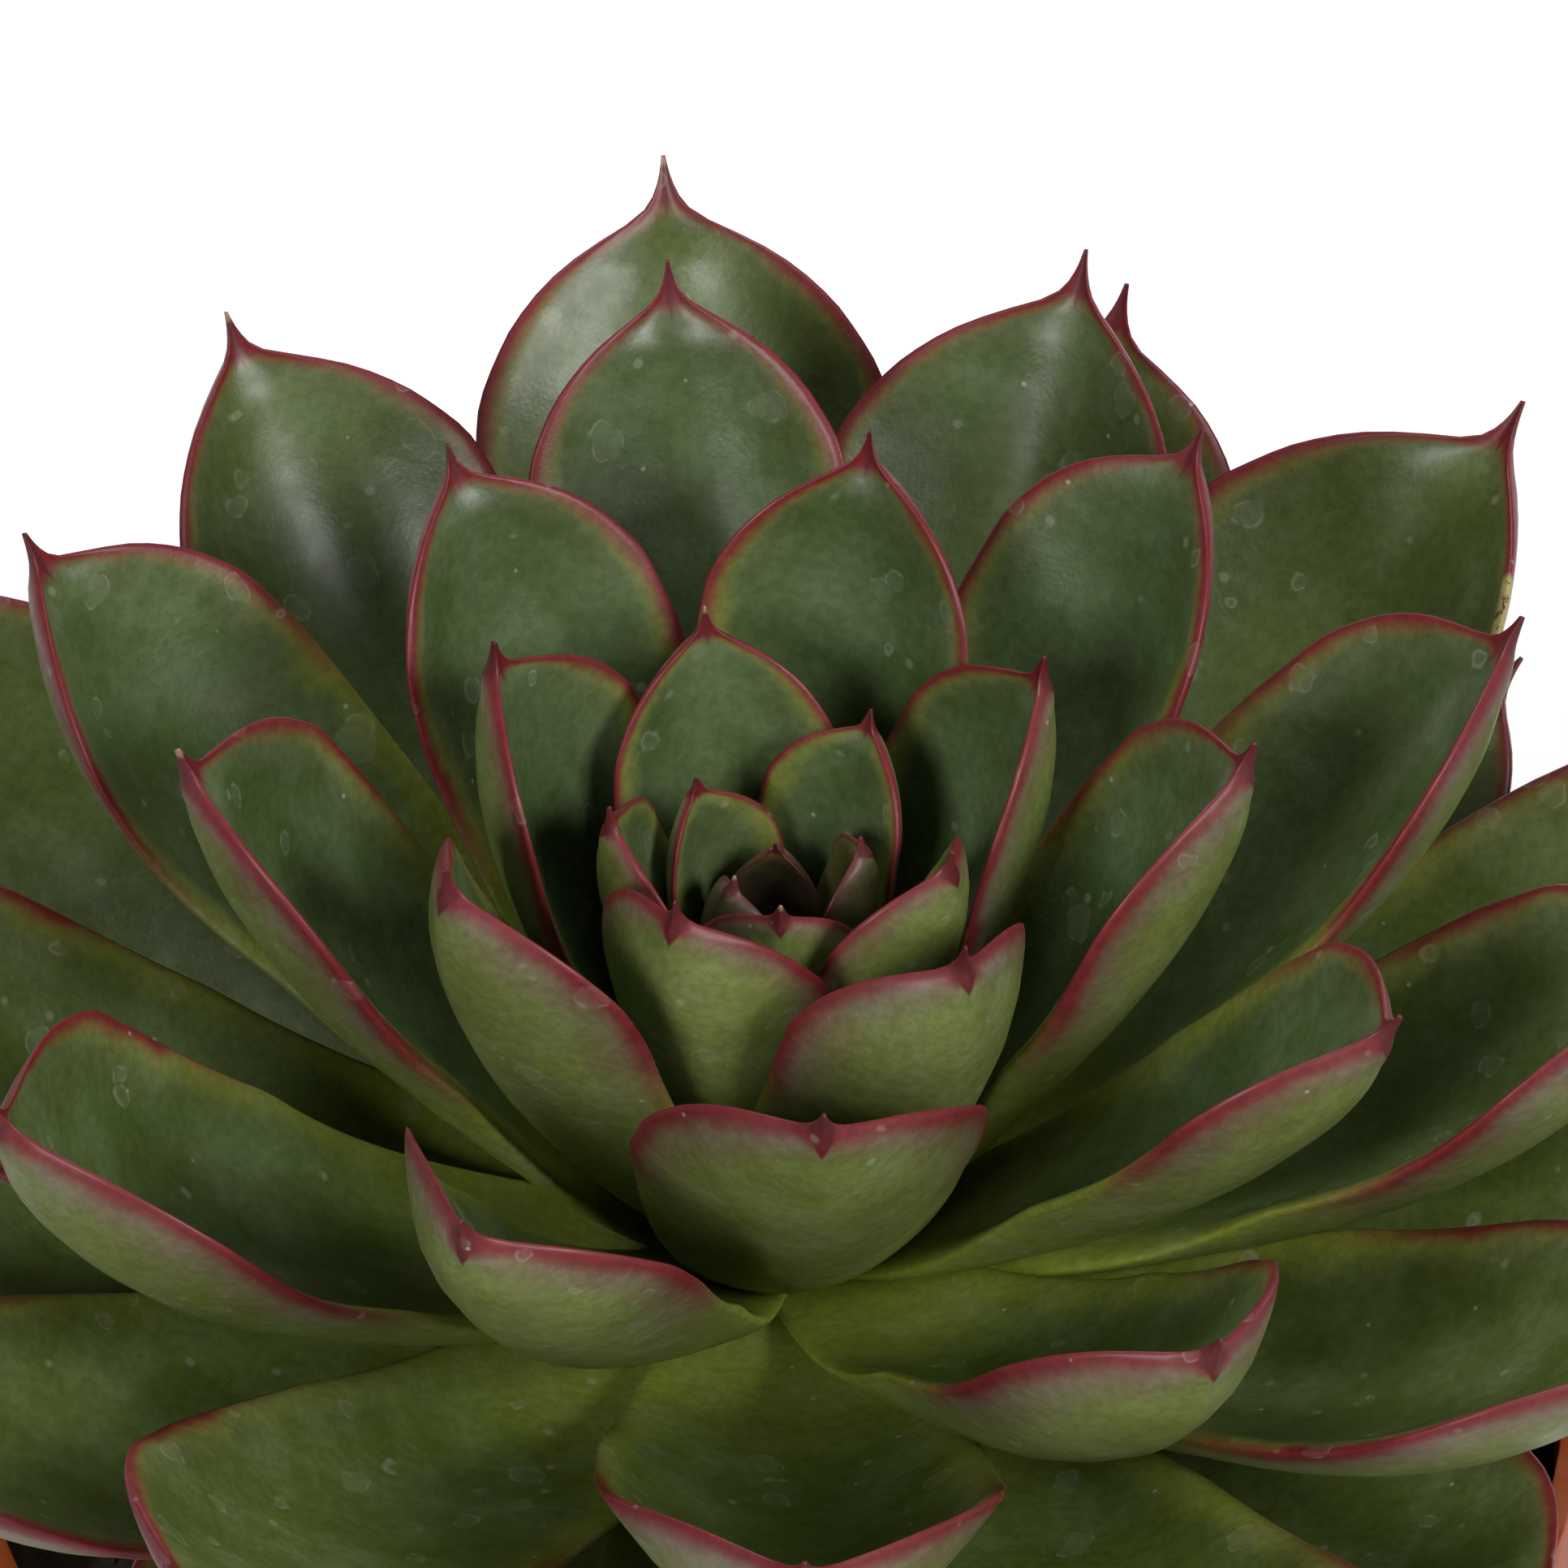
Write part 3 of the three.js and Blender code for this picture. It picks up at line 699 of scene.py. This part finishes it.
# %% Model the pot's wall
lip_radius, pot_height = (round(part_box("pot")[1][axis] / MM) for axis in (0, 2))
LIP_WIDTH = 2
BAND_HEIGHT, BAND_STEP = 14, 3.2
BASE_RADIUS, POT_WALL, POT_FLOOR = 43, 1.8, 2.4
POT_SIDES = 144
DRAIN_HOLES, DRAIN_HOLE_RADIUS, DRAIN_CIRCLE_RADIUS = 6, 4.5, 27
band_foot = pot_height - BAND_HEIGHT
mouth_radius = lip_radius - LIP_WIDTH
neck_radius = lip_radius - BAND_STEP


def pot_inside(height):
    """Inside radius at a height in mm: the tapered wall, then the wider band."""
    if height < band_foot:
        return BASE_RADIUS + (neck_radius - BASE_RADIUS) * height / band_foot - POT_WALL
    return mouth_radius - 1 + (height - band_foot) / BAND_HEIGHT


def draw_up(name, profile, sides):
    """A round solid: a filled circle drawn through (radius, height) rings in mm."""
    deselect_all()
    radius, height = profile[0]
    bpy.ops.mesh.primitive_circle_add(
        vertices=sides, radius=radius * MM, fill_type="NGON", location=(0, 0, height * MM))
    solid = bpy.context.object
    solid.name = name
    bpy.ops.object.transform_apply(location=True, rotation=True, scale=True)
    bpy.ops.object.mode_set(mode="EDIT")
    bpy.ops.mesh.select_all(action="SELECT")
    for next_radius, next_height in profile[1:]:
        rise = (0, 0, (next_height - height) * MM)
        bpy.ops.mesh.extrude_region_move(TRANSFORM_OT_translate={"value": rise})
        if next_radius != radius:
            bpy.ops.transform.resize(value=(next_radius / radius, next_radius / radius, 1))
        radius, height = next_radius, next_height
    bpy.ops.mesh.select_all(action="SELECT")
    bpy.ops.mesh.normals_make_consistent(inside=False)
    bpy.ops.object.mode_set(mode="OBJECT")
    return solid


def apply_modifier(piece, kind, **settings):
    select_only(piece)
    modifier = piece.modifiers.new(kind.lower(), kind)
    for name, value in settings.items():
        setattr(modifier, name, value)
    bpy.ops.object.modifier_apply(modifier=modifier.name)


pot = draw_up("nursery_pot", [
    (BASE_RADIUS, 0), (neck_radius, band_foot), (lip_radius, band_foot), (lip_radius, pot_height),
    (mouth_radius, pot_height), (pot_inside(band_foot), band_foot),
    (pot_inside(band_foot - POT_WALL), band_foot - POT_WALL), (pot_inside(POT_FLOOR), POT_FLOOR),
], POT_SIDES)
print("pot faces:", len(pot.data.polygons))

# %% [markdown]
# ## Drain holes and soft edges
# Water leaves through six round holes in the floor. They could be drawn into its faces,
# but the floor is a single face, so a Boolean cuts each with a round drill. A Bevel then
# rounds every edge at once, as moulded plastic has no sharp ones.

# %% Drill the holes and round the edges
DRILL_DEPTH, EDGE_ROUNDING = 8, 0.6

for i in range(DRAIN_HOLES):
    turn = i / DRAIN_HOLES * 2 * math.pi
    out = DRAIN_CIRCLE_RADIUS * MM
    place = (out * math.cos(turn), out * math.sin(turn), 0)
    deselect_all()
    bpy.ops.mesh.primitive_cylinder_add(
        vertices=32, radius=DRAIN_HOLE_RADIUS * MM, depth=DRILL_DEPTH * MM, location=place)
    drill = bpy.context.object
    apply_modifier(pot, "BOOLEAN", object=drill, operation="DIFFERENCE", solver="EXACT")
    bpy.data.objects.remove(drill)
apply_modifier(pot, "BEVEL", width=EDGE_ROUNDING * MM, segments=3,
               limit_method="ANGLE", angle_limit=35 * DEGREE)
select_only(pot)
bpy.ops.object.shade_smooth_by_angle(angle=40 * DEGREE)
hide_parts("pot")
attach(pot, "root")
print("pot faces:", len(pot.data.polygons))

# %% [markdown]
# ## Soil
# Potting soil settles to a crumbly, slightly heaped surface. A drawn-up round solid gives
# the fill. Its fine top could be made lumpy by sculpting, but many small waves that cross
# at all angles do it evenly. Loose crumbs lie on it: one lump is modelled from an
# icosphere and copied, each copy turned, scaled and set down on the soil, and all are
# joined into one piece.

# %% Model the soil
SOIL_HEAP, SEAT_GAP = 3, 0.3
SOIL_RINGS = 40
SUNK = 1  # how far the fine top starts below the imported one, so that its lumps stay inside
LUMP_WAVES, LUMP_LIMIT, LUMP_SCALE = 40, 1.2, 0.8
FULL_TURN = 6.28
soil_top = round(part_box("soil")[1][2] / MM)
soil_edge = soil_top - SOIL_HEAP
soil_radius = pot_inside(soil_edge) - SEAT_GAP


def soil_height(radius):
    return soil_edge + SOIL_HEAP * (1 - (radius / soil_radius) ** 2)


rings_out = [soil_radius * (1 - i / SOIL_RINGS) for i in range(1, SOIL_RINGS - 2)]
soil = draw_up("potting_soil", [
    (pot_inside(POT_FLOOR) - SEAT_GAP, POT_FLOOR + SEAT_GAP),
    (pot_inside(band_foot - POT_WALL) - SEAT_GAP, band_foot - POT_WALL),
    (pot_inside(band_foot) - SEAT_GAP, band_foot),
    (soil_radius, soil_edge - SUNK)] + [(r, soil_height(r) - SUNK) for r in rings_out], POT_SIDES)
lump_luck = np.random.default_rng(11)
points = np.array([v.co for v in soil.data.vertices]) / MM
top = points[:, 2] > soil_edge - SUNK - 0.5
rough_top = np.zeros(len(points))
for k in range(LUMP_WAVES):
    wave = lump_luck.normal(size=2) * (0.35 + 0.04 * k)
    phase = lump_luck.random() * FULL_TURN
    rough_top += np.sin(points[:, 0] * wave[0] + points[:, 1] * wave[1] + phase) / (6 + 0.5 * k)
points[:, 2] += np.where(top, np.clip(rough_top, -LUMP_LIMIT, LUMP_LIMIT) * LUMP_SCALE, 0)
soil.data.vertices.foreach_set("co", (points * MM).ravel())
soil.data.update()
select_only(soil)
bpy.ops.object.shade_smooth()
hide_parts("soil")
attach(soil, "root")
print("soil faces:", len(soil.data.polygons))

# %% Scatter the crumbs
CRUMBS = 520
SMALLEST_CRUMB, CRUMB_SPREAD = 0.35, 0.9
CLEAR_OF_STEM, CLEAR_OF_WALL = 11, 2
strewn_width = soil_radius - CLEAR_OF_STEM - CLEAR_OF_WALL

deselect_all()
bpy.ops.mesh.primitive_ico_sphere_add(subdivisions=1, radius=1, location=(0, 0, 0))
crumb = bpy.context.object
knocked = np.array([v.co for v in crumb.data.vertices]) * (1, 0.8, 0.65)
knocked += lump_luck.normal(size=knocked.shape) * 0.12
crumbs = []
for i in range(CRUMBS):
    radius = CLEAR_OF_STEM + strewn_width * math.sqrt(lump_luck.random())
    turn = lump_luck.random() * 2 * math.pi
    size = SMALLEST_CRUMB + CRUMB_SPREAD * lump_luck.random() ** 2
    spin, tilt = lump_luck.random(2) * (FULL_TURN, 1.2)
    spin_x, spin_y = math.cos(spin), math.sin(spin)
    tilt_y, tilt_z = math.cos(tilt), math.sin(tilt)
    spun = knocked @ np.array([[spin_x, -spin_y, 0], [spin_y, spin_x, 0], [0, 0, 1]])
    turned = spun @ np.array([[1, 0, 0], [0, tilt_y, -tilt_z], [0, tilt_z, tilt_y]])
    bed = soil_height(radius) - SUNK + 0.3 * size
    at = np.array([radius * math.cos(turn), radius * math.sin(turn), bed])
    mesh = crumb.data.copy()
    mesh.vertices.foreach_set("co", ((turned * size + at) * MM).ravel())
    piece = bpy.data.objects.new(f"crumb_{i}", mesh)
    bpy.context.scene.collection.objects.link(piece)
    crumbs.append(piece)
bpy.data.objects.remove(crumb)
select_only(crumbs[0])
for piece in crumbs:
    piece.select_set(True)
bpy.ops.object.join()
crumbs = bpy.context.object
crumbs.name = "soil_crumbs"
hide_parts("soil")
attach(crumbs, "root")
print("crumb faces:", len(crumbs.data.polygons))

# %% [markdown]
# ## Stem
# Below the leaves the stem is short, brown and woody, ringed by the scars of leaves that
# have fallen. It runs down into the soil as the root. It is drawn up through the same
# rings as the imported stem, with a fine ripple for the scars.

# %% Model the stem
ROOT_DEPTH, ROOT_RADIUS, NECK_RADIUS = 32, 4.5, 8.5
SCAR_DEPTH = 0.25
stem_rings = [(ROOT_RADIUS, soil_top - ROOT_DEPTH), (NECK_RADIUS, soil_top)]
stem_rings += [(max(grown("base_radius", age) - 0.5, 0.8), HEART_HEIGHT - grown("base_drop", age))
               for age in (51, 37, 27, 18, 11, 5, 0)]
radii, heights = zip(*stem_rings)
fine_heights = np.arange(heights[0], heights[-1], 0.7)
fine_radii = np.interp(fine_heights, heights, radii)
scarred_radii = fine_radii - SCAR_DEPTH - 0.2 * np.sin(fine_heights * 1.9)
stem = draw_up("stem", list(zip(scarred_radii.tolist(), fine_heights.tolist())), 48)
select_only(stem)
bpy.ops.object.shade_smooth_by_angle(angle=60 * DEGREE)
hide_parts("rosette")
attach(stem, "root")
print("stem rings:", len(fine_heights))

# %% [markdown]
# ## Plastic, soil and bark
# The pot is matt orange plastic with faint cloudy lime stains, a few water rings and
# grains of soil. The soil is dark brown, with lighter dry patches and pale fibres. The
# stem's bark runs from brown to olive. Photographs of each could be laid on the pieces,
# but clouds and specks made from sums need no unwrapping and stay sharp close up.

# %% Pot plastic
PLASTIC = (0.4, 0.065, 0.012, 1), (0.46, 0.085, 0.018, 1)
LIME, RING_WHITE, SOIL_GRAIN = (0.6, 0.42, 0.32, 1), (0.7, 0.55, 0.45, 1), (0.06, 0.04, 0.03, 1)

pot_plastic, g, shader = new_material("orange_plastic")
spot = g.add("TexCoord", output=3)
body = g.mix(clouds(30, 0.35, 0.7), *PLASTIC)
body = g.mix(g.sum("MULTIPLY", clouds(11, 0.5, 0.75), 0.16), body, LIME)
body = g.mix(g.sum("MULTIPLY", marks(rings, 14, 0.3)[0], 0.16), body, RING_WHITE)
body = g.mix(g.sum("MULTIPLY", marks(specks, 2.5, 0.08)[0], 0.6), body, SOIL_GRAIN)
grain = g.add("TexNoise", {"Vector": spot, "Scale": 1800.0, "Detail": 1.0})
relief = g.add("Bump", {"Strength": 0.35, "Distance": 0.08 * MM, "Height": grain})
rough = g.fade(clouds(9, 0.3, 0.75), 0, 1, 0.42, 0.58)
feed(g, shader, Base_Color=body, Roughness=rough, Normal=relief, IOR=1.49)
dress(pot, pot_plastic)
print("pot plastic:", g.count, "nodes")

# %% Soil and bark
DAMP_SOIL = (0.012, 0.008, 0.006, 1), (0.045, 0.03, 0.02, 1)
DRY_SOIL, FIBRE = (0.07, 0.05, 0.035, 1), (0.2, 0.15, 0.1, 1)
BARK = (0.09, 0.06, 0.03, 1), (0.18, 0.15, 0.06, 1)

soil_dark, g, shader = new_material("potting_soil")
spot = g.add("TexCoord", output=3)
earth = g.mix(clouds(1.6, 0.3, 0.7), *DAMP_SOIL)
earth = g.mix(g.sum("MULTIPLY", clouds(8, 0.45, 0.7), 0.6), earth, DRY_SOIL)
earth = g.mix(g.sum("MULTIPLY", marks(specks, 1.8, 0.12)[0], 0.6), earth, FIBRE)
crumbly = g.add("TexNoise", {"Vector": spot, "Scale": 900.0, "Detail": 4.0})
relief = g.add("Bump", {"Strength": 1.0, "Distance": 0.6 * MM, "Height": crumbly})
feed(g, shader, Base_Color=earth, Roughness=0.95, Normal=relief)
for piece in (soil, crumbs):
    dress(piece, soil_dark)

stem_bark, g, shader = new_material("stem_bark")
spot = g.add("TexCoord", output=3)
bark = g.mix(clouds(3, 0.3, 0.7), *BARK)
ridges = g.add("TexNoise", {"Vector": spot, "Scale": 700.0, "Detail": 3.0})
relief = g.add("Bump", {"Strength": 0.8, "Distance": 0.3 * MM, "Height": ridges})
feed(g, shader, Base_Color=bark, Roughness=0.8, Normal=relief)
dress(stem, stem_bark)
print("materials:", [m.name for m in (leaf_skin, pot_plastic, soil_dark, stem_bark)])

# %% [markdown]
# ## Floor and light
# The photograph has the plant on plain white in soft, rather dim light, with two soft
# highlights along each leaf. So one soft lamp stands in front on the right and one on the
# left, and a wide one above the back lights the far rims. The pale sky adds very little.
# The floor glows only behind the plant, where it has to stay white, so that it doesn't
# light the backs of the leaves from below.

# %% Stage, lamps and sky
FLOOR_SIZE, FLOOR_WHITE = 12, (0.62, 0.62, 0.62, 1)
GLOW_STARTS, GLOW_FULL, GLOW = 0.05, 0.22, 0.65  # metres back from the pot's middle, then strength
LAMP_DISTANCE, LAMP_AIM = 1.3, Vector((0, 0, 0.14))
SKY_STRENGTH = 0.035

deselect_all()
bpy.ops.mesh.primitive_plane_add(size=FLOOR_SIZE, location=(0, 0, 0))
floor = bpy.context.object
floor.name = "floor"
white, g, shader = new_material("white_floor")
back = g.add_node("SeparateXYZ", {0: g.add("TexCoord", output=3)}).outputs[1]
feed(g, shader, Base_Color=FLOOR_WHITE, Roughness=0.9, Emission_Color=(1, 1, 1, 1),
     Emission_Strength=g.fade(back, GLOW_STARTS, GLOW_FULL, 0, GLOW))
floor.data.materials.append(white)


def soft_lamp(name, azimuth, rise, size, watts):
    """A rectangular lamp that looks at the rosette from an azimuth and a rise in degrees."""
    turn, up = azimuth * DEGREE, rise * DEGREE
    way = Vector((math.cos(turn) * math.cos(up), math.sin(turn) * math.cos(up), math.sin(up)))
    lamp_data = bpy.data.lights.new(name, "AREA")
    lamp_data.shape = "RECTANGLE"
    lamp_data.size, lamp_data.size_y = size
    lamp_data.energy = watts
    lamp = bpy.data.objects.new(name, lamp_data)
    bpy.context.scene.collection.objects.link(lamp)
    lamp.location = LAMP_DISTANCE * way + LAMP_AIM
    lamp.rotation_euler = way.to_track_quat("Z", "Y").to_euler()


soft_lamp("right_lamp", -38, 37, (0.6, 0.4), 12)
soft_lamp("left_lamp", -120, 34, (0.4, 0.4), 9)
soft_lamp("back_lamp", 95, 55, (0.9, 0.5), 9)
sky = bpy.data.worlds.new("sky")
sky.use_nodes = True
pale = sky.node_tree.nodes["Background"]
pale.inputs["Color"].default_value = (1, 1, 1, 1)
pale.inputs["Strength"].default_value = SKY_STRENGTH
bpy.context.scene.world = sky
bpy.context.scene.view_settings.view_transform = "Standard"
bpy.context.scene.view_settings.look = "None"
